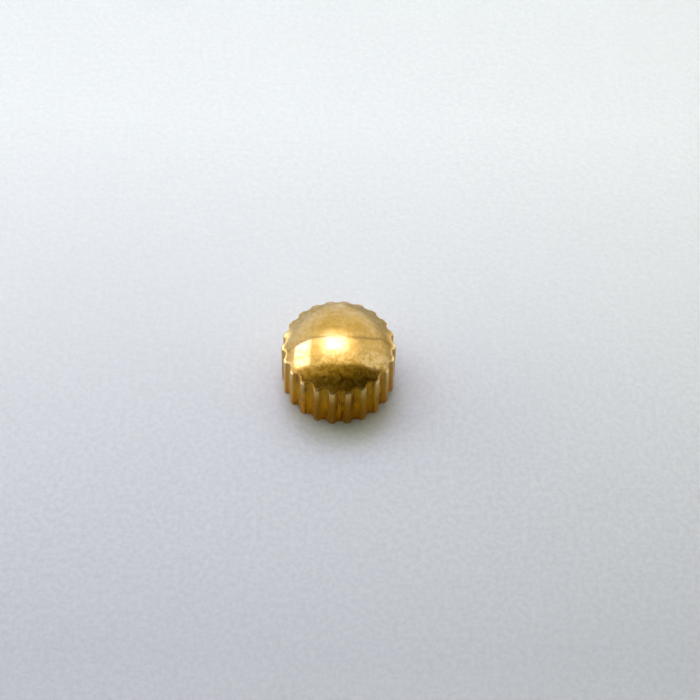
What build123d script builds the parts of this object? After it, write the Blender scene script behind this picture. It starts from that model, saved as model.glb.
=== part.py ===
from build123d import *
import os
from math import cos, pi, sin, sqrt

# Screw-down watch crown, in millimetres. The origin is the centre of the flat base, and +Z runs
# along the crown's axis towards the dome. The front of the crown faces -Y.

# Head, outside
head_radius = 3.0           # over the tips of the teeth
side_height = 2.82          # of the fluted side, where a tooth meets the dome
dome_rise = 0.84            # of the dome over the side
flute_count = 22
flute_depth = 0.20
scoop_share = 0.35          # of the pitch, for the radius of the hollow between two teeth
tooth_rounding_share = 0.16     # of the pitch, for a tooth's two long edges
rim_rounding_share = 0.75   # of the tooth rounding, for the wavy edge between dome and flutes
base_edge = 0.03            # broken edge round the base
first_tooth_angle = 10.5    # degrees from the front towards +X

# Cap shell
shell_wall = 0.24           # behind a flute and over the dome
lip_height = 0.15           # of the lip that is rolled in under the core
lip_reach = 0.20

# Core, outside the thread sleeve
core_wall = 0.61

# Thread sleeve, which screws onto the case tube
sleeve_wall = 0.40
sleeve_length = 0.95
thread_lead_in = 0.08       # chamfer at the sleeve's mouth

# Gasket that the end of the case tube presses on, and the washer behind it
gasket_thickness = 0.18
gasket_post_gap = 0.25      # round the post's shank
gasket_gap = 0.02           # under and over the gasket
gasket_side_gap = 0.08
gasket_rounding = 0.04
gasket_washer_thickness = 0.08
washer_post_gap = 0.20      # round the post's shank

# Retaining ring and socket bush, pressed into one bore
bush_wall = 0.24            # outside the corners of the socket
retaining_ring_thickness = 0.12

# Clutch post
shank_wall = 0.30           # round the tapped hole
shank_gap = 0.03            # between the shank and the retaining ring
post_recess = 0.25          # from the base up to the post's end
post_end_chamfer = 0.08
stem_thread_radius = 0.45   # of the tapped hole for the winding stem
stem_hole_floor = 0.15      # over the tapped hole
stem_lead_in = 0.06
hex_flats = 2.00            # across the flats of the post's hexagon
hex_gap = 0.03              # on each flat
hex_corner_rounding = 0.05
flange_height = 0.32
flange_gap = 0.01           # between the flange and the retaining ring at rest
spigot_radius = 0.62
spigot_height = 0.40
spigot_chamfer = 0.06
post_travel = 0.60          # into the head, as the crown is screwed down
release_gap = 0.19          # between bush and hexagon with the post pushed in, so that the head turns free

# Spring chamber
chamber_gap = 0.10          # outside the corners of the hexagon
chamber_roof = 0.14         # of the core over the edge of the chamber
spring_seat_thickness = 0.08
seat_side_gap = 0.03
slip_washer_thickness = 0.05
slip_washer_side_gap = 0.03
spigot_gap = 0.05           # between the spigot and the slip washer
wire_diameter = 0.11
coil_spigot_gap = 0.175     # between the wire and the spigot
half_turns = 7
coil_end_gap = 0.01         # between the wire and the pieces at its ends

overrun = 1.0               # of every cut past the solid that it cuts
same_place = 0.000001       # two heights or radii closer than this are one

# Radii that follow
flute_pitch = 2 * pi * head_radius / flute_count
scoop_radius = scoop_share * flute_pitch
tooth_rounding = tooth_rounding_share * flute_pitch
rim_rounding = rim_rounding_share * tooth_rounding
core_radius = head_radius - flute_depth - shell_wall
lip_radius = core_radius - lip_reach
sleeve_radius = core_radius - core_wall
tube_thread_radius = sleeve_radius - sleeve_wall
dome_radius = (head_radius ** 2 + dome_rise ** 2) / (2 * dome_rise)
scoop_centre_radius = head_radius - flute_depth + scoop_radius
shank_radius = stem_thread_radius + shank_wall
ring_inner_radius = shank_radius + shank_gap
gasket_inner_radius = shank_radius + gasket_post_gap
gasket_washer_inner_radius = shank_radius + washer_post_gap
socket_flats = hex_flats + 2 * hex_gap
bush_radius = socket_flats / 2 / cos(pi / 6) + bush_wall
chamber_radius = hex_flats / 2 / cos(pi / 6) + chamber_gap
coil_radius = spigot_radius + coil_spigot_gap + wire_diameter / 2
slip_washer_radius = hex_flats / 2 - slip_washer_side_gap
slip_washer_inner_radius = spigot_radius + spigot_gap
seat_radius = chamber_radius - seat_side_gap

# Heights that follow, from the base up
head_height = side_height + dome_rise
dome_centre = head_height - dome_radius
sleeve_top = lip_height + sleeve_length
gasket_bottom = sleeve_top + gasket_gap
gasket_washer_bottom = gasket_bottom + gasket_thickness + gasket_gap
shoulder = gasket_washer_bottom + gasket_washer_thickness
ring_top = shoulder + retaining_ring_thickness
flange_bottom = ring_top + flange_gap
bush_top = flange_bottom + post_travel - release_gap
flange_top = flange_bottom + flange_height
stem_hole_top = flange_top - stem_hole_floor
slip_washer_top = flange_top + slip_washer_thickness
hollow_radius = dome_radius - shell_wall
chamber_top = dome_centre + sqrt(hollow_radius ** 2 - chamber_radius ** 2) - chamber_roof
seat_bottom = chamber_top - spring_seat_thickness


def disc(radius, bottom, top):
    """A plain round solid between two heights."""
    return Pos(0, 0, bottom) * Cylinder(radius, top - bottom, align=(Align.CENTER, Align.CENTER, Align.MIN))


def ring(outer_radius, inner_radius, bottom, top):
    """A washer between two heights."""
    return disc(outer_radius, bottom, top) - disc(inner_radius, bottom - overrun, top + overrun)


def hexagon(flats, corner_rounding, bottom, top):
    """A hexagonal bar with rounded corners, between two heights."""
    outline = RegularPolygon(flats / 2, 6, major_radius=False)
    outline = fillet(outline.vertices(), corner_rounding)
    return Pos(0, 0, bottom) * extrude(outline, top - bottom)


def edges_at(solid, height, radius=None):
    """The solid's round edges at one height, of one radius if that is given."""
    found = [e for e in solid.edges().filter_by(GeomType.CIRCLE) if abs(e.center().Z - height) < same_place]
    if radius is None:
        return found
    return [e for e in found if abs(e.radius - radius) < same_place]


def fluted_outline():
    """The head's outline: a round disc with scoops between the teeth, and rounded teeth."""
    half_pitch = 180 / flute_count
    first_scoop = -90 + first_tooth_angle + half_pitch
    scoops = PolarLocations(scoop_centre_radius, flute_count, start_angle=first_scoop)
    outline = Circle(head_radius) - scoops * Circle(scoop_radius)
    return fillet(outline.vertices(), tooth_rounding)


def dome_ball(radius):
    """The ball whose top is the dome, or the hollow under the dome when the radius is smaller."""
    return Pos(0, 0, dome_centre) * Sphere(radius)


def core_space():
    """The space inside the cap shell, which the core fills."""
    return disc(core_radius, lip_height, head_height) & dome_ball(hollow_radius)


def cap_shell():
    """The gilt outer shell: fluted side, domed top, and a lip rolled in under the core."""
    body = extrude(fluted_outline(), head_height) & dome_ball(dome_radius)
    rim = [e for e in body.edges() if e.bounding_box().min.Z > side_height / 2]
    body = fillet(rim, rim_rounding)
    base = [e for e in body.edges() if e.bounding_box().max.Z < base_edge]
    body = chamfer(base, base_edge)
    return body - core_space() - disc(lip_radius, -overrun, head_height / 2)


def core_body():
    """The base metal core, stepped inside for the sleeve, the bush and the spring."""
    body = core_space() - disc(sleeve_radius, lip_height - overrun, shoulder)
    body -= disc(bush_radius, shoulder - overrun, bush_top)
    return body - disc(chamber_radius, bush_top - overrun, chamber_top)


def thread_sleeve():
    """The sleeve that screws onto the case tube. Its bore stands at the crests of the thread."""
    body = ring(sleeve_radius, tube_thread_radius, lip_height, sleeve_top)
    return chamfer(edges_at(body, lip_height, tube_thread_radius), thread_lead_in)


def main_gasket():
    """The flat rubber ring that the end of the case tube presses on."""
    outer_radius = sleeve_radius - gasket_side_gap
    body = ring(outer_radius, gasket_inner_radius, gasket_bottom, gasket_bottom + gasket_thickness)
    return fillet(body.edges().filter_by(GeomType.CIRCLE), gasket_rounding)


def gasket_washer():
    """The thin washer that backs the gasket."""
    return ring(sleeve_radius, gasket_washer_inner_radius, gasket_washer_bottom, shoulder)


def retaining_ring():
    """The ring that keeps the post's flange in the head."""
    return ring(bush_radius, ring_inner_radius, shoulder, ring_top)


def socket_bush():
    """The bush whose hexagonal hole turns the post."""
    hole = hexagon(socket_flats, hex_corner_rounding, ring_top - overrun, bush_top + overrun)
    return disc(bush_radius, ring_top, bush_top) - hole


def clutch_post():
    """The sliding post: a shank with the tapped stem hole, a hexagonal flange and a spring spigot."""
    shank = disc(shank_radius, post_recess, flange_bottom)
    shank = chamfer(edges_at(shank, post_recess), post_end_chamfer)
    spigot = disc(spigot_radius, flange_top, flange_top + spigot_height)
    spigot = chamfer(edges_at(spigot, flange_top + spigot_height), spigot_chamfer)
    body = shank + hexagon(hex_flats, hex_corner_rounding, flange_bottom, flange_top) + spigot
    body -= disc(stem_thread_radius, post_recess - overrun, stem_hole_top)
    return chamfer(edges_at(body, post_recess, stem_thread_radius), stem_lead_in)


def slip_washer():
    """The washer that lets the post turn under the spring."""
    return ring(slip_washer_radius, slip_washer_inner_radius, flange_top, slip_washer_top)


def spring_seat():
    """The disc that the spring bears on at the top of its chamber."""
    return disc(seat_radius, seat_bottom, chamber_top)


def biarc(start, heading, end, end_heading):
    """Two arcs that leave start along heading and reach end along end_heading, and touch between."""
    across = end - start
    turn = 1 - heading.dot(end_heading)
    along = across.dot(heading + end_heading)
    reach = (sqrt(along ** 2 + 2 * turn * across.dot(across)) - along) / (2 * turn)
    first, second = start + heading * reach, end - end_heading * reach
    middle = (first + second) / 2
    return [TangentArc(start, middle, tangent=heading), TangentArc(middle, end, tangent=second - first)]


def clutch_spring():
    """The spring that pushes the post out: one wire, flat for half a turn at each end."""
    bottom = slip_washer_top + coil_end_gap + wire_diameter / 2
    top = seat_bottom - coil_end_gap - wire_diameter / 2
    quarters = 2 * half_turns
    flat_quarters = 2
    step = (top - bottom) / (quarters - 2 * flat_quarters)
    heights = [bottom + step * min(max(k - flat_quarters, 0), quarters - 2 * flat_quarters)
               for k in range(quarters + 1)]
    points, headings = [], []
    for k in range(quarters + 1):
        angle = k * pi / 2
        climb = (heights[min(k + 1, quarters)] - heights[max(k - 1, 0)]) / 2
        points.append(Vector(coil_radius * cos(angle), coil_radius * sin(angle), heights[k]))
        run = coil_radius * pi / 2
        headings.append(Vector(-run * sin(angle), run * cos(angle), climb).normalized())
    arcs = []
    for k in range(quarters):
        arcs += biarc(points[k], headings[k], points[k + 1], headings[k + 1])
    path = Wire(arcs)
    gap = min((points[k + 4] - points[k]).length for k in range(quarters - 3)) - wire_diameter
    print("clutch_spring: least gap between turns", round(gap, 3), "mm, wire", round(path.length, 2), "mm long")
    section = Plane(origin=points[0], z_dir=headings[0]) * Circle(wire_diameter / 2)
    return sweep(section, path=path)


pieces = {
    "cap_shell": cap_shell,
    "core_body": core_body,
    "thread_sleeve": thread_sleeve,
    "main_gasket": main_gasket,
    "gasket_washer": gasket_washer,
    "retaining_ring": retaining_ring,
    "socket_bush": socket_bush,
    "clutch_post": clutch_post,
    "slip_washer": slip_washer,
    "clutch_spring": clutch_spring,
    "spring_seat": spring_seat,
}

os.makedirs("parts", exist_ok=True)
for name, make in pieces.items():
    solid = make()
    solid.label = name
    export_step(solid, f"parts/{name}.step")
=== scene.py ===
import math

import bpy
import numpy as np
from bpy.props import FloatProperty, FloatVectorProperty, IntProperty, PointerProperty
from mathutils import Matrix, Vector


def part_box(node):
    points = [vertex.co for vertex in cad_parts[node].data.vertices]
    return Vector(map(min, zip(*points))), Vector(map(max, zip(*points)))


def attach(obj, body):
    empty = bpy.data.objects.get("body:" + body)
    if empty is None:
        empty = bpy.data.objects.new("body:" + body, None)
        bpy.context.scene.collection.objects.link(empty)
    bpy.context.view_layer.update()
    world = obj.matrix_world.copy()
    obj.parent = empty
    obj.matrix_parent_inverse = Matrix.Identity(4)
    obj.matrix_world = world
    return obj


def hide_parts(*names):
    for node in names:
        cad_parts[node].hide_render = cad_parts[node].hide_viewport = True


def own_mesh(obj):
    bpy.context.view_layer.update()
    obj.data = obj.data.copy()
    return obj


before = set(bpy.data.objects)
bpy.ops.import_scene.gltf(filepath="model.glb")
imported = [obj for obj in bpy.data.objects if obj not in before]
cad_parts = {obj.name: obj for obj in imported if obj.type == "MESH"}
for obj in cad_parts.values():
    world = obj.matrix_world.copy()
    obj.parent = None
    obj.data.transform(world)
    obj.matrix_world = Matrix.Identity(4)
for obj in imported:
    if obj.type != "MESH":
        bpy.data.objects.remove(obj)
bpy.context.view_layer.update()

bl_info = {
    "name": "Watch Crown",
    "version": (1, 0, 0),
    "blender": (4, 5, 0),
    "location": "3D View > Sidebar > Crown",
    "description": "Dresses a fluted screw-down watch crown and sets it on a pale stage",
    "category": "Object",
}

SHELL_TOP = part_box("cap_shell")[1].z
CORE_LOW, CORE_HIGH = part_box("core_body")
SLEEVE_LOW, SLEEVE_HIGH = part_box("thread_sleeve")
GASKET_LOW, GASKET_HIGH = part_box("main_gasket")
POST_LOW, POST_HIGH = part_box("clutch_post")
SPRING_LOW, SPRING_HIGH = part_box("clutch_spring")
MM = 0.001
FULL_TURN = 2 * math.pi

# Points along each stretch of the head's outline, and of its profile from the top of the dome to the roof
TIP_STEPS, EDGE_STEPS, HOLLOW_STEPS = 4, 8, 10
DOME_STEPS, RIM_STEPS, SIDE_STEPS, FOOT_STEPS, UNDER_STEPS = 46, 12, 16, 5, 5
LIP_STEPS, SEAT_STEPS, WALL_STEPS, ROOF_STEPS = 4, 4, 8, 12

# Tints of the light. The lamp and its haze are cool, because the gilding warms what it reflects.
LAMP_TINT = (0.92, 0.98, 1.9)
HAZE_TINT = (0.95, 0.88, 1.9)
CEILING_TINT = (1.0, 0.99, 0.97)
WALL_TINT = (0.97, 1.0, 1.07)
UNDER_TINT = (0.80, 0.90, 1.0)
BACKDROP_TINT = (0.83, 0.84, 0.86)
# Painted warm reflection: a warm tint for the gloss on the front of the side alone, standing in for bounced
# light.
PAINTED_WARM_GLOSS_TINT = (1.0, 0.93, 0.64)

FLOOR_RADIUS = 260 * MM
SENSOR_WIDTH = 36.0
BOTH_ENDS = (True, True)


def number(name, description, default, **settings):
    """A ratio or another plain number."""
    return FloatProperty(name=name, description=description, default=default, **settings)


def length(name, description, default):
    """A size in metres, shown in the scene's own unit."""
    return number(name, description, default, min=0.0, unit="LENGTH", precision=5)


def angle(name, description, degrees):
    """An angle, written here in degrees."""
    return number(name, description, math.radians(degrees), subtype="ANGLE")


def colour(name, description, default):
    """A linear colour."""
    return FloatVectorProperty(name=name, description=description, default=default, min=0.0, max=1.0,
                               subtype="COLOR")


class CrownSizes(bpy.types.PropertyGroup):
    """Sizes of the crown's pieces."""
    head_radius: length("Head radius", "Over the tips of the teeth", 3.0 * MM)
    side_height: length("Side height", "Of the fluted side, where a tooth meets the dome", 2.82 * MM)
    flute_count: IntProperty(name="Flutes", description="Teeth round the head", default=22, min=3)
    flute_depth: length("Flute depth", "From a tooth's tip to the bottom of a flute", 0.20 * MM)
    scoop_share: number("Scoop share", "Radius of a flute's hollow as a share of the pitch", 0.35)
    tooth_rounding_share: number("Tooth rounding", "Of a tooth's long edges, as a share of the pitch", 0.16)
    rim_reach_share: number("Rim reach", "Of the rim's rounding, as a share of the tooth rounding", 0.80)
    rim_sharper_share: number("Rim sharper", "How much narrower the rim's rounding is over a flute", 0.55)
    base_edge: length("Base edge", "Rounding round the foot of the side", 0.03 * MM)
    first_tooth_angle: angle("First tooth", "From the front towards +X", 10.5)
    shell_wall: length("Shell wall", "Behind a flute and over the dome", 0.24 * MM)
    lip_reach: length("Lip reach", "Of the lip rolled in under the core", 0.20 * MM)
    sleeve_wall: length("Sleeve wall", "Of the thread sleeve, behind the crests of the thread", 0.40 * MM)
    tube_thread_pitch: length("Tube thread pitch", "Of the case tube's thread", 0.25 * MM)
    tube_thread_depth: length("Tube thread depth", "From crest to root in the sleeve", 0.13 * MM)
    stem_radius: length("Stem radius", "Of the stem thread, over its crests", 0.45 * MM)
    stem_thread_pitch: length("Stem thread pitch", "Of the winding stem's thread", 0.225 * MM)
    stem_thread_depth: length("Stem thread depth", "From crest to root in the tapped hole", 0.10 * MM)
    shank_wall: length("Shank wall", "Of the post round the tapped hole", 0.30 * MM)
    gasket_post_gap: length("Gasket gap", "Between the gasket and the post's shank", 0.25 * MM)
    hex_flats: length("Hexagon", "Across the flats of the post's hexagon", 2.0 * MM)
    flange_height: length("Flange height", "Of the post's hexagon", 0.32 * MM)
    stem_hole_floor: length("Stem hole floor", "Over the tapped hole", 0.15 * MM)
    spigot_radius: length("Spigot radius", "Of the post's spigot inside the spring", 0.62 * MM)
    spigot_height: length("Spigot height", "Over the hexagon", 0.40 * MM)
    wire_diameter: length("Wire", "Diameter of the spring wire", 0.11 * MM)
    half_turns: IntProperty(name="Half turns", description="Of the spring", default=7, min=4)


class CrownFinish(bpy.types.PropertyGroup):
    """Colours of the crown's finishes and of the stage."""
    gilt: colour("Gilt", "Polished gilding", (0.70, 0.46, 0.13))
    gilt_deep: colour("Deep gilt", "Toned gilding", (0.60, 0.355, 0.067))
    gilt_pale: colour("Pale gilt", "Rubbed gilding", (0.70, 0.54, 0.29))
    land: colour("Land", "Worn tips of the teeth", (0.54, 0.34, 0.075))
    # Painted shade: the tips of the foremost teeth, darkened as where they mirror the floor in the crown's
    # shadow.
    land_front_shade: colour("Land in front", "Duller tips of the foremost teeth", (0.36, 0.165, 0.008))
    toned: colour("Toned", "Brown patches on the dome", (0.42, 0.25, 0.032))
    tarnish: colour("Tarnish", "Brown toning of the flutes", (0.68, 0.325, 0.002))
    # Patina near the foot, made brighter and redder as painted warm light that lifts the foot out of its
    # shade.
    tarnish_red_and_warm_light: colour("Red tarnish", "Toning near the foot", (0.85, 0.31, 0.003))
    tarnish_dark: colour("Dark tarnish", "Dirt and spots", (0.17, 0.045, 0.004))
    brass: colour("Brass", "Turned core", (0.72, 0.53, 0.26))
    steel: colour("Steel", "Turned steel", (0.56, 0.56, 0.55))
    rubber: colour("Rubber", "Moulded gasket", (0.018, 0.018, 0.018))
    floor: colour("Floor", "Pale surface under the crown", (0.865, 0.92, 0.69))


class CrownStudio(bpy.types.PropertyGroup):
    """Camera and light."""
    elevation: angle("Elevation", "Of the camera over the base", 56.4)
    roll: angle("Roll", "Of the camera about its axis", 1.0)
    distance: length("Distance", "From the camera to the centre of the base", 97.5 * MM)
    lens: number("Lens", "Focal length in millimetres on a 36 mm sensor", 93.7)
    image_side: number("Image side", "Pixels along the photograph's frame", 700.0)
    base_pixel_x: number("Base X", "Pixel of the base's centre, from the left", 338.7)
    base_pixel_y: number("Base Y", "Pixel of the base's centre, from the top", 377.1)
    dark_side: colour("Dark side", "Light from the room in front", (0.170, 0.142, 0.036))
    dark_left: colour("Dark side, left", "The same on the left", (0.190, 0.170, 0.120))
    back_side: number("Back side", "Brightness of the room behind", 0.98)
    ceiling: number("Ceiling", "Brightness of the lit strip overhead", 1.05)
    glow: number("Glow", "Brightness of the haze round the overhead lamp", 3.1)
    low_walls: number("Low walls", "Brightness low down on either side", 4.2)
    overhead_lamp: number("Overhead lamp", "Brightness of the lamp overhead", 1.9)
    side_lamp: number("Side lamp", "Brightness of the lamp on the left", 3.2)
    lamp_height: length("Lamp height", "Of both lamps over the floor", 230.0 * MM)


# Meshes from arrays


def rows_in_order(grid, poles):
    """What a grid holds for each vertex, in the order of mesh_from_grid: a pole's row gives one vertex."""
    first = grid[:1, :1] if poles[0] else grid[:1]
    last = grid[-1:, :1] if poles[1] else grid[-1:]
    return np.concatenate([block.reshape(-1, *grid.shape[2:]) for block in (first, grid[1:-1], last)])


def mesh_from_grid(name, grid, poles=(False, False), closed=False):
    """A smooth mesh from rows of points that run round a piece. Each row closes on itself. A row marked as
    a pole is a single point, joined by a fan. A closed grid also joins its last row to its first."""
    rows, columns = grid.shape[:2]
    vertices = rows_in_order(grid, poles)
    counts = [1 if poles[0] else columns] + [columns] * (rows - 2) + [1 if poles[1] else columns]
    starts = np.concatenate([[0], np.cumsum(counts)[:-1]])
    here = np.arange(columns)
    ahead = (here + 1) % columns
    first, last = (1 if poles[0] else 0), (rows - 2 if poles[1] else rows - 1)
    low = starts[first:last][:, None]
    high = starts[first + 1:last + 1][:, None]
    quads = np.stack([low + here, low + ahead, high + ahead, high + here], -1).reshape(-1, 4)
    if closed:
        seam = np.stack([starts[-1] + here, starts[-1] + ahead, starts[0] + ahead, starts[0] + here], -1)
        quads = np.concatenate([quads, seam])
    fans = [np.zeros((0, 3), int)]
    if poles[0]:
        fans.append(np.stack([np.full(columns, starts[0]), starts[1] + ahead, starts[1] + here], -1))
    if poles[1]:
        fans.append(np.stack([starts[-2] + here, starts[-2] + ahead, np.full(columns, starts[-1])], -1))
    fans = np.concatenate(fans)
    if signed_volume(vertices, quads, fans) < 0:
        quads, fans = quads[:, ::-1], fans[:, ::-1]
    mesh = bpy.data.meshes.new(name)
    mesh.vertices.add(len(vertices))
    mesh.vertices.foreach_set("co", vertices.astype(np.float32).ravel())
    mesh.loops.add(quads.size + fans.size)
    mesh.loops.foreach_set("vertex_index", np.concatenate([quads.ravel(), fans.ravel()]).astype(np.int32))
    mesh.polygons.add(len(quads) + len(fans))
    loop_starts = np.concatenate([np.arange(len(quads)) * 4, quads.size + np.arange(len(fans)) * 3])
    mesh.polygons.foreach_set("loop_start", loop_starts.astype(np.int32))
    mesh.update(calc_edges=True)
    mesh.validate()
    mesh.shade_smooth()
    return mesh


def signed_volume(vertices, quads, fans):
    """Six times the volume inside the faces, positive when they face outwards."""
    triangles = np.concatenate([quads[:, [0, 1, 2]], quads[:, [0, 2, 3]], fans])
    a, b, c = (vertices[triangles[:, k]] for k in range(3))
    return float(np.einsum("ij,ij->", a, np.cross(b, c)))


def store(mesh, name, values):
    """Keeps one number per vertex as an attribute, for the materials to read."""
    kept = mesh.attributes.new(name, "FLOAT", "POINT")
    kept.data.foreach_set("value", values.astype(np.float32))


def new_object(name, data):
    """Puts a mesh, a lamp or a camera in the scene."""
    made = bpy.data.objects.new(name, data)
    bpy.context.scene.collection.objects.link(made)
    return made


def piece(name, body, slot, material, replaced, grid, **ends):
    """Puts a grid in the scene as a piece that rides a body and stands for one CAD node."""
    mesh = mesh_from_grid(replaced + "_surface", grid, **ends)
    mesh.materials.append(material)
    made = new_object(name, mesh)
    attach(made, body)
    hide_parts(replaced)
    return made


# Shapes


def even(start, end, count):
    """Evenly spaced values with both ends."""
    return np.linspace(start, end, count)


def round_angles(count):
    """Evenly spaced angles round a full turn."""
    return even(0, FULL_TURN, count + 1)[:-1]


def round_row(angles, radius, height):
    """One row of points at a radius and height, each of which is a number or an array over the angles."""
    ones = np.ones_like(angles)
    return np.stack([radius * np.cos(angles), radius * np.sin(angles), height * ones], -1)


def inset_row(outline, normals, depth, height):
    """The outline moved in along its normals and set at a height, each a number or an array."""
    depth, height = (np.broadcast_to(value, len(outline)) for value in (depth, height))
    return np.column_stack([outline - depth[:, None] * normals, height])


def turned(angles, radii, heights):
    """A grid turned about Z: one row for each profile point, whose radius may change round the row."""
    radii, heights = np.broadcast_arrays(radii, heights)
    if radii.ndim == 1:
        radii, heights = radii[:, None], heights[:, None]
    return np.stack(np.broadcast_arrays(radii * np.cos(angles), radii * np.sin(angles), heights), -1)


def fluted_outline(sizes):
    """Points, outward normals and depths round the head, and how far in the rim's rounding reaches from
    each. A tooth's tip is an arc of the head's own radius, its two edges are small arcs, and the flute is an
    arc about a centre outside the head. The arcs share their tangents."""
    count = sizes.flute_count
    half_pitch = math.pi / count
    pitch = FULL_TURN * sizes.head_radius / count
    scoop = sizes.scoop_share * pitch
    rounding = sizes.tooth_rounding_share * pitch
    edge_centre = sizes.head_radius - rounding
    scoop_centre = sizes.head_radius - sizes.flute_depth + scoop
    squares = edge_centre ** 2 + scoop_centre ** 2 - (rounding + scoop) ** 2
    edge_angle = half_pitch - math.acos(squares / (2 * edge_centre * scoop_centre))
    edge_xy = edge_centre * np.array([math.cos(edge_angle), math.sin(edge_angle)])
    scoop_xy = scoop_centre * np.array([math.cos(half_pitch), math.sin(half_pitch)])
    across = scoop_xy - edge_xy
    turn = math.atan2(across[1], across[0])
    tip = even(0, edge_angle, TIP_STEPS)
    edge = even(edge_angle, turn, EDGE_STEPS)[1:]
    hollow = even(turn, half_pitch, HOLLOW_STEPS)[1:]
    headings = np.concatenate([tip, edge, hollow])
    facing = np.stack([np.cos(headings), np.sin(headings)], -1)
    on_tip = sizes.head_radius * facing[:len(tip)]
    on_edge = edge_xy + rounding * facing[len(tip):len(tip) + len(edge)]
    in_hollow = scoop_xy - scoop * facing[len(tip) + len(edge):]
    half = np.concatenate([on_tip, on_edge, in_hollow])
    mirror = np.array([1, -1])
    points = np.concatenate([half[:0:-1] * mirror, half[:-1]])
    normals = np.concatenate([facing[:0:-1] * mirror, facing[:-1]])
    turns = sizes.first_tooth_angle - math.pi / 2 + 2 * half_pitch * np.arange(count)
    spin = np.stack([np.cos(turns), -np.sin(turns), np.sin(turns), np.cos(turns)], -1).reshape(-1, 2, 2)
    points, normals = (np.einsum("nij,kj->nki", spin, way).reshape(-1, 2) for way in (points, normals))
    depth = (sizes.head_radius - np.linalg.norm(points, axis=1)) / sizes.flute_depth
    reach_in = rounding * sizes.rim_reach_share * (1 - sizes.rim_sharper_share * depth)
    return points, normals, depth, reach_in


def shell_grid(sizes):
    """The cap shell from the top of the dome out over the rim, down the flutes, in under the lip and up
    inside. The dome is part of a sphere. The rim is a round arc along each of the flutes' normals: it leaves
    the dome in the dome's own direction, a set way in from the flutes, and turns down to stand upright."""
    outline, normals, depth, reach_in = fluted_outline(sizes)
    angles = np.arctan2(outline[:, 1], outline[:, 0])
    rise = SHELL_TOP - sizes.side_height
    dome = (sizes.head_radius ** 2 + rise ** 2) / (2 * rise)
    middle = SHELL_TOP - dome
    edge = outline - reach_in[:, None] * normals
    edge_z = middle + np.sqrt(dome ** 2 - (edge ** 2).sum(1))
    steep = np.arctan2(edge_z - middle, (edge * normals).sum(1))
    rim = reach_in / (1 - np.cos(steep))
    centre_z = edge_z - rim * np.sin(steep)
    rim_rows = [inset_row(outline, normals, rim * (1 - np.cos(a)), centre_z + rim * np.sin(a))
                for a in (steep * t for t in even(1, 0, RIM_STEPS))]
    swing = np.arctan2(edge[:, 1], edge[:, 0]) - angles
    swing = (swing + math.pi) % FULL_TURN - math.pi
    reach = np.arcsin(np.linalg.norm(edge, axis=1) / dome)
    dome_rows = [round_row(angles + swing * t, dome * np.sin(reach * t), middle + dome * np.cos(reach * t))
                 for t in even(0, 1, DOME_STEPS)[:-1]]
    foot = sizes.base_edge
    side_rows = [inset_row(outline, normals, 0.0, centre_z + (foot - centre_z) * t)
                 for t in even(0, 1, SIDE_STEPS)[1:]]
    foot_rows = [inset_row(outline, normals, foot * (1 - math.cos(a)), foot * (1 - math.sin(a)))
                 for a in even(0, math.pi / 2, FOOT_STEPS)[1:]]
    sole = foot_rows[-1]
    sole_radius = np.linalg.norm(sole[:, :2], axis=1)
    sole_angles = np.arctan2(sole[:, 1], sole[:, 0])
    core_radius = CORE_HIGH.x
    lip = core_radius - sizes.lip_reach
    under_rows = [round_row(sole_angles, sole_radius + (lip - sole_radius) * t, 0.0)
                  for t in even(0, 1, UNDER_STEPS)[1:]]
    lip_rows = [round_row(angles, lip, z) for z in even(0, CORE_LOW.z, LIP_STEPS)[1:]]
    seat_rows = [round_row(angles, r, CORE_LOW.z) for r in even(lip, core_radius, SEAT_STEPS)[1:]]
    hollow = dome - sizes.shell_wall
    wall_top = middle + math.sqrt(hollow ** 2 - core_radius ** 2)
    wall_rows = [round_row(angles, core_radius, z) for z in even(CORE_LOW.z, wall_top, WALL_STEPS)[1:]]
    tilt = math.asin(core_radius / hollow)
    roof_rows = [round_row(angles, hollow * math.sin(tilt * t), middle + hollow * math.cos(tilt * t))
                 for t in even(1, 0, ROOF_STEPS)[1:]]
    groups = [dome_rows, rim_rows, side_rows, foot_rows, under_rows, lip_rows, seat_rows, wall_rows,
              roof_rows]
    grid = np.stack([row for group in groups for row in group])
    return grid, depth, [len(group) for group in groups]


def shell_marks(grid, depth, counts):
    """What the shell's finish reads: flute, 0 on a tooth's tip to 1 at the bottom of a flute, on the side
    alone; side, 1 on the rim, the side and the foot; and rub, 1 on the rounded rim and 0.8 on the foot,
    falling away from them in bell curves."""
    ends = np.cumsum(counts)
    rows = np.arange(len(grid))[:, None]
    on_side = ((rows >= ends[0]) & (rows < ends[3])).astype(float)
    rim_middle = ends[0] + counts[1] / 2
    foot_middle = ends[2] + counts[3] / 2
    rub = np.maximum(np.exp(-((rows - rim_middle) / (counts[1] * 0.45)) ** 2),
                     0.8 * np.exp(-((rows - foot_middle) / counts[3]) ** 2))
    ones = np.ones((1, grid.shape[1]))
    return {"flute": on_side * depth, "rub": rub * ones, "side": on_side * ones}


def thread_form(heights, angles, pitch, flat=0.18):
    """A thread's ridge, 1 at the crest and 0 at the root, for rows at their heights and columns at their
    angles: a wave with its tops and bottoms cut to short flats, which climbs one pitch a turn."""
    turns = heights[:, None] / pitch - angles[None] / FULL_TURN
    saw = np.abs((turns % 1.0) * 2 - 1)
    return np.clip((saw - flat) / (1 - 2 * flat), 0, 1)


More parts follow.
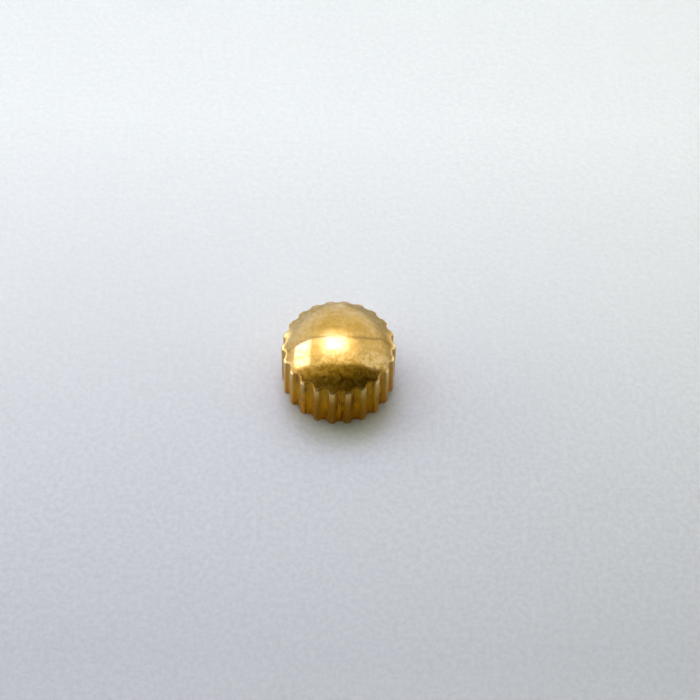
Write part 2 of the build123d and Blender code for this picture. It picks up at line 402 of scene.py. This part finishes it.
def sleeve_grid(sizes):
    """The sleeve as a closed ring: its bore climbs with the thread, whose ridge stands at the bore's radius
    and whose root lies deeper in the wall, fading out into a bevel at each end. The outside is plain."""
    angles = round_angles(128)
    outer = SLEEVE_HIGH.x
    crest = outer - sizes.sleeve_wall
    low, high = SLEEVE_LOW.z, SLEEVE_HIGH.z
    bevel = sizes.tube_thread_depth * 0.8
    heights = even(low, high, 96)
    bore = crest + sizes.tube_thread_depth * (1 - thread_form(heights, angles, sizes.tube_thread_pitch))
    mouth = np.clip(1 - np.minimum(heights - low, high - heights) / bevel, 0, 1)[:, None]
    bore = np.maximum(bore, crest + sizes.tube_thread_depth * mouth)
    broken = 0.02 * MM
    outside_radii = np.array([outer - broken, outer, outer, outer - broken])
    outside_heights = np.array([high, high - broken, low + broken, low])
    radii = np.concatenate([bore, np.repeat(outside_radii[:, None], len(angles), 1)])
    return turned(angles, radii, np.concatenate([heights, outside_heights])[:, None])


def gasket_grid(sizes):
    """The gasket as a closed ring whose section is a rounded, slightly crowned oblong: the fourth powers of
    its coordinates add up to one, and the case tube has left a shallow groove in its lower face."""
    outer = GASKET_HIGH.x
    inner = sizes.stem_radius + sizes.shank_wall + sizes.gasket_post_gap
    half_width, half_height = (outer - inner) / 2, (GASKET_HIGH.z - GASKET_LOW.z) / 2
    middle = (GASKET_HIGH.z + GASKET_LOW.z) / 2
    t = round_angles(56)
    across, upward = (np.sign(wave) * np.abs(wave) ** 0.5 for wave in (np.cos(t), np.sin(t)))
    groove = 0.12 * np.exp(-((across - 0.05) / 0.28) ** 2) * (upward < 0)
    radii = (outer + inner) / 2 + half_width * across
    heights = middle + half_height * upward * (1 - groove)
    return turned(round_angles(144), radii, heights)


def hexagon_radius(angles, flats, corner):
    """Radius of a hexagon with its corners turned down: half the flats over the cosine, to the corner."""
    from_flat = (angles + math.pi / 6) % (math.pi / 3) - math.pi / 6
    return np.minimum(flats / 2 / np.cos(from_flat), corner)


def post_grid(sizes):
    """The post from the top of its tapped hole down to the mouth, out and up the shank, over the hexagonal
    flange, whose corners are bevelled by cones, and up the spigot to its top."""
    angles = round_angles(192)
    low, top = POST_LOW.z, POST_HIGH.z
    flange_top = top - sizes.spigot_height
    flange_low = flange_top - sizes.flange_height
    flange_middle = (flange_low + flange_top) / 2
    hole_top = flange_top - sizes.stem_hole_floor
    shank, spigot = sizes.stem_radius + sizes.shank_wall, sizes.spigot_radius
    tip, lead, bevel, spigot_bevel = 0.08 * MM, 0.06 * MM, 0.07 * MM, 0.06 * MM
    heights = even(hole_top, low + lead, 110)
    ridge = thread_form(heights, angles, sizes.stem_thread_pitch)
    fade = np.clip((heights - low - lead) / (0.5 * sizes.stem_thread_pitch), 0, 1)[:, None]
    bore = sizes.stem_radius - sizes.stem_thread_depth * ridge * fade
    hole_floor = even(0, 1, 4)[:, None] * bore[0]
    corner = sizes.hex_flats / math.sqrt(3) * 0.994
    hexagon = hexagon_radius(angles, sizes.hex_flats, corner)
    bevelled, narrow = (np.minimum(hexagon, corner - inset) for inset in (bevel, 2.2 * bevel))
    steps = [
        (sizes.stem_radius + lead, low), (shank - tip, low), (shank, low + tip),
        (shank, (low + flange_low) / 2), (shank, flange_low), (narrow, flange_low),
        (bevelled, flange_low + 0.3 * bevel), (hexagon, flange_low + bevel), (hexagon, flange_middle),
        (hexagon, flange_top - bevel), (bevelled, flange_top - 0.3 * bevel), (narrow, flange_top),
        (spigot, flange_top), (spigot, (flange_top + top) / 2), (spigot, top - spigot_bevel),
        (spigot - spigot_bevel, top), (spigot / 2, top), (0.0, top),
    ]
    outside = np.stack([np.broadcast_to(radius, angles.shape) for radius, _ in steps])
    radii = np.concatenate([hole_floor, bore, outside])
    levels = np.concatenate([np.full(len(hole_floor), hole_top), heights, [level for _, level in steps]])
    return turned(angles, radii, levels[:, None])


def eased_ramp(u, ease):
    """Nothing below zero and u above it, joined by a parabola that reaches an ease to either side."""
    return np.where(u < -ease, 0, np.where(u > ease, u, (u + ease) ** 2 / (4 * ease)))


def spring_grid(sizes):
    """The spring's wire: a circle carried along a coil that lies flat for half a turn at each end and
    climbs evenly between, its height eased over a quarter of a turn where the climb starts and stops."""
    wire = sizes.wire_diameter / 2
    radius = SPRING_HIGH.x - wire
    low, high = SPRING_LOW.z + wire, SPRING_HIGH.z - wire
    turns = sizes.half_turns / 2
    t = even(0, turns, sizes.half_turns * 28 + 1)
    climb = (eased_ramp(t - 0.5, 0.125) - eased_ramp(t - turns + 0.5, 0.125)) / (turns - 1)
    angles = FULL_TURN * t
    path = round_row(angles, radius, low + (high - low) * climb)
    along = np.gradient(path, axis=0)
    along /= np.linalg.norm(along, axis=1)[:, None]
    across = np.cross(along, round_row(angles, 1.0, 0.0))
    across /= np.linalg.norm(across, axis=1)[:, None]
    outward = np.cross(across, along)
    section = round_angles(16)
    spokes = np.cos(section)[:, None] * outward[:, None] + np.sin(section)[:, None] * across[:, None]
    rings = path[:, None] + wire * spokes
    start, nose = wire_end(path[:1, None], rings[:1])
    end, tail = wire_end(path[-1:, None], rings[-1:])
    return np.concatenate([start, nose, rings, tail, end])


def wire_end(centre, ring):
    """Two rows that close a wire: its middle, and a smaller ring on the way there."""
    return np.broadcast_to(centre, ring.shape), centre + 0.6 * (ring - centre)


# Finishes


def full(tint):
    """A colour with its fourth number, or a socket as it is."""
    return tint if isinstance(tint, bpy.types.NodeSocket) else (*tint[:3], 1.0)


def scaled(tint, share):
    """A colour at a share of its brightness."""
    return tuple(min(1.0, part * share) for part in tint)


class Nodes:
    """A node tree and the sums that the finishes and the room are worked out with, from numbers and other
    nodes' sockets."""

    def __init__(self, tree, output):
        tree.nodes.clear()
        self.tree = tree
        self.output = self.add(output)

    def fill(self, node, inputs):
        """Links or sets a node's inputs, which are given by name or number."""
        for key, value in inputs.items():
            if isinstance(value, bpy.types.NodeSocket):
                self.tree.links.new(value, node.inputs[key])
            else:
                node.inputs[key].default_value = value

    def add(self, kind, inputs=None, **settings):
        """Adds a node, sets it and fills its inputs."""
        made = self.tree.nodes.new("ShaderNode" + kind)
        for key, value in settings.items():
            setattr(made, key, value)
        self.fill(made, inputs or {})
        return made

    def maths(self, operation, a, b=0.0, c=0.0):
        """One sum on up to three values."""
        return self.add("Math", {0: a, 1: b, 2: c}, operation=operation).outputs[0]

    def times(self, product, *others):
        """Values multiplied together."""
        for value in others:
            product = self.maths("MULTIPLY", product, value)
        return product

    def line(self, value, slope, start):
        """A value times a slope, added to a start."""
        return self.maths("MULTIPLY_ADD", value, slope, start)

    def most(self, a, b):
        """The greater of two values."""
        return self.maths("MAXIMUM", a, b)

    def away(self, value, middle):
        """How far a value is from a middle."""
        return self.maths("ABSOLUTE", self.maths("SUBTRACT", value, middle))

    def remap(self, value, low, high, to_low=0.0, to_high=1.0, kind="SMOOTHSTEP"):
        """A value's range brought to another, with eased ends."""
        inputs = {"Value": value, "From Min": low, "From Max": high, "To Min": to_low, "To Max": to_high}
        return self.add("MapRange", inputs, interpolation_type=kind).outputs["Result"]

    def blob(self, value, middle, flat, reach):
        """One near a middle, easing to nothing at a reach either side."""
        return self.remap(self.away(value, middle), reach, flat)

    def split(self, vector):
        """The three parts of a vector."""
        parts = self.add("SeparateXYZ", {0: vector}).outputs
        return parts["X"], parts["Y"], parts["Z"]

    def place(self, turn=(0, 0, 0), stretch=(1, 1, 1)):
        """The object's own coordinates in millimetres, turned and then stretched."""
        here = self.add("TexCoord").outputs["Object"]
        there = self.add("Mapping", {"Vector": here, "Rotation": turn, "Scale": (1 / MM, 1 / MM, 1 / MM)})
        return self.add("Mapping", {"Vector": there.outputs[0], "Scale": stretch}).outputs["Vector"]

    def from_axis(self, x, y):
        """The distance from the crown's axis."""
        return self.maths("SQRT", self.line(x, x, self.times(y, y)))

    def noise(self, vector, scale, detail=4.0, roughness=0.55, distortion=0.0):
        """Fractal noise at so many cells to the millimetre."""
        inputs = {"Vector": vector, "Scale": scale, "Detail": detail, "Roughness": roughness}
        return self.add("TexNoise", {**inputs, "Distortion": distortion}).outputs["Fac"]

    def blend(self, share_of_b, a, b):
        """Mixes two colours."""
        return self.add("Mix", {0: share_of_b, 6: full(a), 7: full(b)}, data_type="RGBA").outputs[2]

    def attribute(self, name):
        """A number stored on the mesh."""
        return self.add("Attribute", attribute_name=name).outputs["Fac"]

    def bump(self, shader, height, strength, distance):
        """Raises a shader's surface by a height, so many metres for one."""
        made = self.add("Bump", {"Height": height, "Strength": strength, "Distance": distance})
        self.fill(shader, {"Normal": made.outputs["Normal"]})

    def light(self, tint, strength):
        """Light from all the directions that it is mixed into."""
        return self.add("Background", {"Color": full(tint), "Strength": strength}).outputs[0]

    def mix(self, share_of_b, a, b):
        """Mixes two shaders."""
        return self.add("MixShader", {0: share_of_b, 1: a, 2: b}).outputs[0]


def new_material(name):
    """An empty material with its nodes and its shader."""
    material = bpy.data.materials.new(name)
    material.use_nodes = True
    nodes = Nodes(material.node_tree, "OutputMaterial")
    shader = nodes.add("BsdfPrincipled")
    nodes.fill(nodes.output, {"Surface": shader.outputs["BSDF"]})
    return material, nodes, shader


def scratches(nodes, turn, spacing, width):
    """Hairlines: noise drawn out a long way in one direction, kept only where it crosses a level, and broken
    up by a coarser noise."""
    drawn = nodes.place(turn=(0, 0, turn), stretch=(0.3, spacing, 0.3))
    off_level = nodes.away(nodes.noise(drawn, 1.0, detail=1.0, distortion=0.2), 0.5)
    here_and_there = nodes.remap(nodes.noise(drawn, 0.6, detail=2.0), 0.52, 0.60)
    return nodes.times(nodes.remap(off_level, width, 0.0), here_and_there)


def dome_colour(nodes, finish, mottle, patches, forward):
    """Gold in deeper and paler clouds, paler towards the back, the rim and the right, with brown patches
    and, in front, dark specks."""
    place = nodes.place()
    x, y, _ = nodes.split(place)
    clouds = nodes.noise(place, 0.8, detail=4.0)
    tone = nodes.line(clouds, 0.65, nodes.times(mottle, 0.35))
    gold = nodes.blend(nodes.remap(tone, 0.40, 0.60), finish.gilt, finish.gilt_deep)
    outer = nodes.remap(nodes.from_axis(x, y), 1.0, 2.7)
    backward = nodes.times(outer, nodes.remap(nodes.line(x, -0.8, y), -0.9, 1.8))
    rightward = nodes.times(nodes.remap(x, 0.5, 1.9), 0.52)
    worn = nodes.times(nodes.most(backward, rightward), nodes.remap(tone, 0.62, 0.42, 0.3, 1.0))
    gold = nodes.blend(worn, gold, finish.gilt_pale)
    brown = nodes.times(nodes.remap(patches, 0.42, 0.60), nodes.line(forward, 0.8, 0.2))
    gold = nodes.blend(brown, gold, finish.toned)
    specks = nodes.remap(nodes.noise(place, 4.5, detail=3.0), 0.54, 0.68)
    specks = nodes.times(specks, nodes.remap(y, -1.1, -2.2, 0.0, 0.7))
    return nodes.blend(specks, gold, finish.tarnish_dark)


def side_colour(nodes, finish, gold, mottle, streaks, forward, flute, in_flute):
    """The side: worn tips of the teeth, darkened in front as painted shade, flutes toned brown and streaked
    down their length and browned at their tops in front as painted shade under the dome's rim, redder near
    the foot as patina and painted warm light, and dirt in streaks and spots. The toning, the red and the
    dirt are stronger towards the front, partly as painted shade."""
    _, y, z = nodes.split(nodes.place())
    low_down = nodes.remap(z, 2.4, 0.1)
    land = nodes.blend(nodes.remap(streaks, 0.62, 0.40), gold, finish.land)
    high_up = nodes.times(nodes.remap(z, 1.8, 3.0), nodes.remap(flute, 0.9, 0.1))
    land = nodes.blend(high_up, land, finish.gilt)
    uneven = nodes.noise(nodes.place(stretch=(1, 1, 0.3)), 1.3, detail=2.0)
    # Painted shade: the brown toning grows towards the front, on top of the patina in the flutes and near
    # the foot.
    toning = nodes.maths("ADD", nodes.times(low_down, nodes.line(forward, 0.45, 0.20)),
                         nodes.times(in_flute, nodes.line(forward, 0.58, 0.45)))
    toning = nodes.times(toning, nodes.remap(streaks, 0.34, 0.62, 0.75, 1.15),
                         nodes.remap(uneven, 0.35, 0.6, 0.75, 1.2))
    flank = nodes.blend(nodes.maths("MINIMUM", toning, 1.0), land, finish.tarnish)
    # Painted shade: the tops of the front flutes, under the dome's rim, are browned.
    shaded_flute_top = nodes.times(in_flute, forward, nodes.remap(z, 1.5, 2.7, 0.18, 0.58))
    flank = nodes.blend(shaded_flute_top, flank, finish.toned)
    # Partly patina, partly painted warm light: the foot is reddened and lifted out of its shade, more in
    # front.
    red_and_warm_light = nodes.times(low_down, nodes.remap(mottle, 0.44, 0.62, 0.0, 0.8))
    red_and_warm_light = nodes.most(red_and_warm_light, nodes.remap(z, 1.1, 0.0, 0.0, 0.85))
    flank = nodes.blend(nodes.times(red_and_warm_light, nodes.line(forward, 0.7, 0.3)), flank, finish.tarnish_red_and_warm_light)
    # Painted shade: the tips of the foremost teeth, which mirror the shadowed floor, are darkened.
    foremost = nodes.times(nodes.remap(y, -2.45, -2.85, 0.0, 0.85), nodes.remap(z, 2.7, 1.7),
                           nodes.remap(flute, 0.40, 0.05))
    flank = nodes.blend(foremost, flank, finish.land_front_shade)
    spots = nodes.remap(nodes.noise(nodes.place(stretch=(1, 1, 0.5)), 2.0, detail=1.0), 0.52, 0.72)
    streaked = nodes.times(nodes.remap(streaks, 0.46, 0.68), nodes.times(in_flute, 0.75))
    spotted = nodes.times(spots, nodes.line(in_flute, 0.4, 0.3))
    # Partly painted shade: the dirt grows towards the front.
    dirt = nodes.times(nodes.most(streaked, spotted), nodes.remap(uneven, 0.4, 0.6, 0.3, 1.2),
                       nodes.line(forward, 0.5, 0.5))
    return nodes.blend(dirt, flank, finish.tarnish_dark)


def gilt_finish(finish):
    """Worn polished gilding. Its rounded edges are rubbed pale at both sides and on the teeth's tips, and
    hold grime elsewhere. The dome is finely pitted and scratched, and duller where it is mottled. The side
    is rougher, most of all in the flutes, and its gloss is tinted warm in front as a painted warm
    reflection."""
    material, nodes, shader = new_material("gilt")
    place = nodes.place()
    flute, rub, side = (nodes.attribute(name) for name in ("flute", "rub", "side"))
    _, y, _ = nodes.split(place)
    mottle = nodes.noise(place, 5.0, detail=6.0, roughness=0.62)
    grain = nodes.noise(place, 26.0, detail=3.0, roughness=0.6)
    patches = nodes.noise(place, 3.4, detail=5.0, roughness=0.6, distortion=0.5)
    streaks = nodes.noise(nodes.place(stretch=(1, 1, 0.10)), 9.0, detail=2.0, roughness=0.5)
    forward = nodes.remap(y, 0.4, -2.2)
    in_flute = nodes.remap(flute, 0.05, 0.50)

    gold = dome_colour(nodes, finish, mottle, patches, forward)
    flank = side_colour(nodes, finish, gold, mottle, streaks, forward, flute, in_flute)
    whole = nodes.blend(side, gold, flank)
    both_sides = nodes.times(nodes.remap(y, -2.3, -0.8), nodes.remap(y, 1.6, 0.2))
    bare = nodes.most(both_sides, nodes.times(nodes.remap(flute, 0.30, 0.02), side))
    rubbed = nodes.times(rub, bare, nodes.remap(mottle, 0.65, 0.40, 0.2, 1.0))
    whole = nodes.blend(rubbed, whole, finish.gilt_pale)
    grime = tuple(0.6 * a + 0.4 * b for a, b in zip(finish.toned, finish.tarnish_dark))
    whole = nodes.blend(nodes.times(rub, nodes.line(bare, -0.75, 0.75)), whole, grime)
    # Painted warm reflection: the front of the side, whose gloss gets the warm tint.
    in_front = nodes.times(side, nodes.remap(y, -1.2, -2.6))

    dull = nodes.remap(nodes.line(grain, 0.08, mottle), 0.46, 0.70)
    dull = nodes.line(dull, 0.05, nodes.times(patches, 0.06))
    polish = nodes.line(rub, 0.08, nodes.maths("ADD", dull, 0.07))
    rough = nodes.line(grain, 0.08, nodes.line(in_flute, 0.10, 0.14))
    nodes.fill(shader, {
        "Base Color": whole,
        "Metallic": 1.0,
        "Specular Tint": nodes.blend(in_front, (1.0, 1.0, 1.0), PAINTED_WARM_GLOSS_TINT),
        "Roughness": nodes.line(side, rough, polish),
    })

    lines = nodes.most(scratches(nodes, 0.4, 7.0, 0.012), scratches(nodes, 1.5, 9.0, 0.010))
    lines = nodes.most(lines, scratches(nodes, 2.5, 6.0, 0.012))
    pits = nodes.remap(grain, 0.64, 0.76)
    marks = nodes.times(nodes.maths("ADD", lines, pits), nodes.maths("SUBTRACT", 1.0, side))
    relief = nodes.line(mottle, 0.22, nodes.times(grain, 0.02))
    relief = nodes.line(marks, -0.10, relief)
    relief = nodes.line(nodes.times(side, streaks), 1.2, relief)
    nodes.bump(shader, relief, 0.28, 0.003 * MM)
    return material


def turned_finish(name, base, worn_share, roughness, marks_per_mm=30.0):
    """Metal off a lathe: fine rings about the axis, clouded by handling."""
    material, nodes, shader = new_material(name)
    place = nodes.place()
    x, y, z = nodes.split(place)
    profile = nodes.add("CombineXYZ", {"X": nodes.from_axis(x, y), "Y": z}).outputs[0]
    rings = nodes.noise(profile, marks_per_mm, detail=2.0)
    tone = nodes.remap(nodes.noise(place, 3.0, detail=5.0), 0.35, 0.70)
    nodes.fill(shader, {
        "Base Color": nodes.blend(tone, base, scaled(base, worn_share)),
        "Metallic": 1.0,
        "Roughness": nodes.maths("ADD", roughness, nodes.times(rings, 0.12)),
    })
    nodes.bump(shader, rings, 0.4, 0.003 * MM)
    return material


def rubber_finish(finish):
    """Moulded rubber: matt, with a fine bloom."""
    material, nodes, shader = new_material("rubber")
    bloom = nodes.noise(nodes.place(), 9.0, detail=6.0, roughness=0.7)
    nodes.fill(shader, {
        "Base Color": nodes.blend(nodes.remap(bloom, 0.4, 0.75), finish.rubber, scaled(finish.rubber, 3.0)),
        "Roughness": nodes.remap(bloom, 0.3, 0.7, 0.5, 0.75),
    })
    nodes.bump(shader, bloom, 0.3, 0.004 * MM)
    return material


def floor_finish(finish):
    """A pale satin surface with painted shade that darkens it evenly towards the viewer, finely speckled,
    which light enters a little way. Seen from below it isn't there."""
    material, nodes, shader = new_material("floor")
    place = nodes.place()
    _, y, _ = nodes.split(place)
    # Painted shade: the floor darkens towards the viewer, standing in for the light falling off.
    fade = nodes.remap(y, 18.0, -16.0, kind="LINEAR")
    fibre = nodes.noise(place, 3.5, detail=5.0, roughness=0.65)
    speckle = nodes.times(nodes.remap(fibre, 0.3, 0.7), nodes.remap(fade, 0.3, 0.85, 0.08, 0.22))
    # Painted shade: the first colour is the floor's at the viewer's end of that darkening.
    near, speck = (scaled(finish.floor, share) for share in (0.56, 0.27))
    nodes.fill(shader, {
        "Base Color": nodes.blend(speckle, nodes.blend(fade, finish.floor, near), speck),
        "Roughness": 0.42,
        "Specular IOR Level": 0.8,
        "Subsurface Weight": 1.0,
        "Subsurface Radius": (1.0, 1.0, 1.0),
        "Subsurface Scale": 3.2 * MM,
    })
    shader.subsurface_method = "BURLEY"
    nodes.bump(shader, nodes.noise(place, 3.0, detail=4.0, roughness=0.6), 0.6, 0.08 * MM)
    from_below = nodes.times(nodes.add("NewGeometry").outputs["Backfacing"],
                             nodes.add("LightPath").outputs["Is Camera Ray"])
    clear = nodes.add("BsdfTransparent").outputs[0]
    nodes.fill(nodes.output, {"Surface": nodes.mix(from_below, shader.outputs["BSDF"], clear)})
    return material


# Operators, one for each piece or group of like pieces


class CROWN_OT_cap_shell(bpy.types.Operator):
    """Make the gilt, fluted and domed outer shell"""
    bl_idname = "crown.cap_shell"
    bl_label = "Cap Shell"

    def execute(self, context):
        material = gilt_finish(context.scene.crown_finish)
        grid, depth, counts = shell_grid(context.scene.crown_sizes)
        shell = piece("cap_shell_gilt", "head", "gilt", material, "cap_shell", grid, poles=BOTH_ENDS)
        for name, values in shell_marks(grid, depth, counts).items():
            store(shell.data, name, rows_in_order(values, BOTH_ENDS))
        return {"FINISHED"}


class CROWN_OT_thread_sleeve(bpy.types.Operator):
    """Make the sleeve with the case tube's thread in its bore"""
    bl_idname = "crown.thread_sleeve"
    bl_label = "Thread Sleeve"

    def execute(self, context):
        material = turned_finish("sleeve_steel", context.scene.crown_finish.steel, 0.75, 0.20)
        grid = sleeve_grid(context.scene.crown_sizes)
        piece("thread_sleeve_turned", "head", "steel", material, "thread_sleeve", grid, closed=True)
        return {"FINISHED"}


class CROWN_OT_main_gasket(bpy.types.Operator):
    """Make the rubber gasket"""
    bl_idname = "crown.main_gasket"
    bl_label = "Main Gasket"

    def execute(self, context):
        material = rubber_finish(context.scene.crown_finish)
        grid = gasket_grid(context.scene.crown_sizes)
        piece("main_gasket_rubber", "head", "rubber", material, "main_gasket", grid, closed=True)
        return {"FINISHED"}


class CROWN_OT_clutch_post(bpy.types.Operator):
    """Make the sliding post with its hexagon and tapped hole"""
    bl_idname = "crown.clutch_post"
    bl_label = "Clutch Post"

    def execute(self, context):
        material = turned_finish("post_steel", context.scene.crown_finish.steel, 0.8, 0.16, 40.0)
        grid = post_grid(context.scene.crown_sizes)
        piece("clutch_post_turned", "post", "steel", material, "clutch_post", grid, poles=BOTH_ENDS)
        return {"FINISHED"}


class CROWN_OT_clutch_spring(bpy.types.Operator):
    """Make the coil spring, which the post presses shorter as it slides in; here it stands at rest, on a
    mesh of its own
    """
    bl_idname = "crown.clutch_spring"
    bl_label = "Clutch Spring"

    def execute(self, context):
        material = turned_finish("spring_wire", context.scene.crown_finish.steel, 0.7, 0.24, 60.0)
        grid = spring_grid(context.scene.crown_sizes)
        spring = piece("clutch_spring_wire", "head", "spring_steel", material, "clutch_spring", grid,
                       poles=BOTH_ENDS)
        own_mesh(spring)
        return {"FINISHED"}


class CROWN_OT_turned_pieces(bpy.types.Operator):
    """Give the core, bush, ring, washers and spring seat their turned metal"""
    bl_idname = "crown.turned_pieces"
    bl_label = "Turned Pieces"

    def execute(self, context):
        finish = context.scene.crown_finish
        brass = turned_finish("turned_brass", finish.brass, 0.7, 0.22)
        steel = turned_finish("turned_steel", finish.steel, 0.8, 0.2)
        wanted = {"core_body": brass, "socket_bush": brass, "retaining_ring": steel, "gasket_washer": steel,
                  "slip_washer": steel, "spring_seat": steel}
        for name, material in wanted.items():
            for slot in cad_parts[name].material_slots:
                slot.material = material
        return {"FINISHED"}


class CROWN_OT_stage(bpy.types.Operator):
    """Set the floor, the light and the camera"""
    bl_idname = "crown.stage"
    bl_label = "Stage"

    def execute(self, context):
        scene, studio = context.scene, context.scene.crown_studio
        make_floor(scene.crown_sizes, scene.crown_finish)
        make_world(scene, studio)
        make_softboxes(studio)
        make_camera(scene, studio)
        scene.view_settings.view_transform = "Standard"
        return {"FINISHED"}


def make_floor(sizes, finish):
    """A round floor, wide enough to fill every view. Under the crown it is cut away, just inside the foot's
    own outline, so that light from below reaches the underside and none escapes round the foot."""
    outline, normals, _, _ = fluted_outline(sizes)
    hole = inset_row(outline, normals, 2.5 * sizes.base_edge, 0.0)
    angles = np.arctan2(outline[:, 1], outline[:, 0])
    rings = [round_row(angles, reach * FLOOR_RADIUS, 0.0) for reach in (0.05, 0.2, 0.5, 1.0)]
    mesh = mesh_from_grid("floor_surface", np.stack([hole, *rings]))
    if mesh.polygons[0].normal.z < 0:
        mesh.flip_normals()
    mesh.materials.append(floor_finish(finish))
    floor = new_object("floor", mesh)


def make_world(scene, studio):
    """A room by direction alone. Where a direction meets a ceiling one unit up, its place there, across and
    deep, chooses the tone: dark in front of a straight edge, less so on the left and near the edge; lit
    behind it; then a dark seam, which bends back with the square of across; and the back of the room. A cool
    haze lies round the overhead lamp. Low bright walls stand on both sides, brighter on the left, and reach
    forward, lower and dimmer. Under the floor is an even pale tone, which only the underside meets, and the
    camera sees an even backdrop."""
    world = bpy.data.worlds.new("room")
    scene.world = world
    world.use_nodes = True
    nodes = Nodes(world.node_tree, "OutputWorld")
    x, y, z = nodes.split(nodes.add("TexCoord").outputs["Generated"])
    up = nodes.most(z, 0.02)
    across, deep = (nodes.maths("DIVIDE", way, up) for way in (x, y))

    past_edge = nodes.maths("SUBTRACT", deep, nodes.line(across, 0.06, 0.072))
    held = nodes.maths("MINIMUM", nodes.most(across, -0.53), 1.15)
    past_seam = nodes.maths("SUBTRACT", deep, nodes.line(nodes.times(held, held), 0.42, 0.735))
    behind = nodes.remap(past_seam, 0.0, 0.02)
    seam = nodes.remap(nodes.maths("ABSOLUTE", past_seam), 0.040, 0.014)
    haze = nodes.times(nodes.blob(across, -0.09, 0.0, 0.55), nodes.blob(deep, 0.60, 0.04, 0.61),
                       nodes.line(behind, -0.40, 1.0))
    bright = nodes.line(behind, studio.back_side - studio.ceiling, studio.ceiling)
    ends = nodes.times(nodes.remap(across, 0.8, 1.5, 1.0, 0.55), nodes.remap(across, -1.0, -1.6, 1.0, 0.75))
    bright = nodes.line(haze, studio.glow, nodes.times(bright, ends))
    bright = nodes.times(bright, nodes.remap(seam, 0.0, 1.0, 1.0, 0.20))
    tint = nodes.blend(nodes.remap(z, 0.55, 0.15), CEILING_TINT, WALL_TINT)
    room = nodes.light(nodes.blend(haze, tint, HAZE_TINT), bright)

    shade = nodes.times(nodes.remap(across, 0.7, -0.7, 0.6, 1.55),
                        nodes.times(nodes.remap(past_edge, -0.34, -0.05, 0.70, 2.2),
                                    nodes.remap(z, 0.35, 0.88, 0.22, 1.0)))
    shade_tint = nodes.blend(nodes.remap(across, 0.1, -0.9), studio.dark_side, studio.dark_left)
    halves = nodes.mix(nodes.remap(past_edge, -0.022, 0.012), nodes.light(shade_tint, shade), room)

    sideways = nodes.remap(nodes.maths("ABSOLUTE", x), 0.55, 0.75)
    in_front = nodes.remap(y, -0.05, -0.35)
    wall_height = nodes.blob(nodes.line(in_front, 0.09, z), 0.20, 0.10, 0.23)
    walls = nodes.times(sideways, wall_height, nodes.line(in_front, -0.40, 1.0),
                        nodes.remap(x, 0.5, -0.5, 0.5, 1.0), nodes.remap(y, -0.75, -0.62), studio.low_walls)
    round_about = nodes.add("AddShader", {0: halves, 1: nodes.light(WALL_TINT, walls)}).outputs[0]

    whole = nodes.mix(nodes.remap(z, -0.05, -0.20), round_about, nodes.light(UNDER_TINT, 0.9))
    seen = nodes.add("LightPath").outputs["Is Camera Ray"]
    nodes.fill(nodes.output, {"Surface": nodes.mix(seen, whole, nodes.light(BACKDROP_TINT, 1.0))})


def make_softboxes(studio):
    """Two soft lamps in the ceiling, facing down: one overhead, a little behind the crown, and one on its
    left. Each is placed by where it lies across and deep on a ceiling one unit up."""
    softbox("overhead_lamp", studio.lamp_height, (-0.25, 0.16), (0.38, 0.74), studio.overhead_lamp)
    softbox("side_lamp", studio.lamp_height, (-1.01, -0.56), (0.12, 0.78), studio.side_lamp)


def softbox(name, height, across, deep, brightness):
    """A rectangular lamp of an even brightness: its power is that times pi times its area."""
    wide, long = (across[1] - across[0]) * height, (deep[1] - deep[0]) * height
    lamp = bpy.data.lights.new(name, "AREA")
    lamp.shape = "RECTANGLE"
    lamp.size, lamp.size_y = wide, long
    lamp.energy = brightness * math.pi * wide * long
    lamp.color = LAMP_TINT
    made = new_object(name, lamp)
    made.location = (sum(across) / 2 * height, sum(deep) / 2 * height, height)


def make_camera(scene, studio):
    """The camera at the photograph's angle, turned so that the base's centre falls on its pixel."""
    lens = bpy.data.cameras.new("camera")
    lens.sensor_width = SENSOR_WIDTH
    lens.lens = studio.lens
    lens.clip_start, lens.clip_end = 1 * MM, 2.0
    camera = new_object("camera", lens)
    back = Vector((0, -math.cos(studio.elevation), math.sin(studio.elevation)))
    side = Vector((1, 0, 0))
    facing = Matrix((side, back.cross(side), back)).transposed()
    focal = studio.lens / SENSOR_WIDTH * studio.image_side
    across = (studio.base_pixel_x - studio.image_side / 2) / focal
    down = (studio.base_pixel_y - studio.image_side / 2) / focal
    turn = Matrix.Rotation(math.atan(across), 3, "Y") @ Matrix.Rotation(math.atan(down), 3, "X")
    roll = Matrix.Rotation(studio.roll, 3, "Z")
    camera.matrix_world = Matrix.Translation(back * studio.distance) @ (facing @ turn @ roll).to_4x4()
    scene.camera = camera


class CROWN_PT_panel(bpy.types.Panel):
    """The crown's operators, sizes and finishes"""
    bl_idname = "CROWN_PT_panel"
    bl_label = "Watch Crown"
    bl_space_type = "VIEW_3D"
    bl_region_type = "UI"
    bl_category = "Crown"

    def draw(self, context):
        for operator in OPERATORS:
            self.layout.operator(operator.bl_idname)
        for name, group in GROUPS.items():
            box = self.layout.box()
            for key in group.__annotations__:
                box.prop(getattr(context.scene, name), key)


OPERATORS = (CROWN_OT_cap_shell, CROWN_OT_thread_sleeve, CROWN_OT_main_gasket, CROWN_OT_clutch_post,
             CROWN_OT_clutch_spring, CROWN_OT_turned_pieces, CROWN_OT_stage)
GROUPS = {"crown_sizes": CrownSizes, "crown_finish": CrownFinish, "crown_studio": CrownStudio}


def register():
    """Adds the classes and the scene's settings."""
    for made in (*GROUPS.values(), *OPERATORS, CROWN_PT_panel):
        bpy.utils.register_class(made)
    for name, group in GROUPS.items():
        setattr(bpy.types.Scene, name, PointerProperty(type=group))


def unregister():
    """Takes them away again."""
    for name in GROUPS:
        delattr(bpy.types.Scene, name)
    for made in (CROWN_PT_panel, *reversed(OPERATORS), *GROUPS.values()):
        bpy.utils.unregister_class(made)


def main():
    """Makes every piece and the stage."""
    register()
    bpy.ops.crown.cap_shell()
    bpy.ops.crown.thread_sleeve()
    bpy.ops.crown.main_gasket()
    bpy.ops.crown.clutch_post()
    bpy.ops.crown.clutch_spring()
    bpy.ops.crown.turned_pieces()
    bpy.ops.crown.stage()


if __name__ == "__main__":
    main()
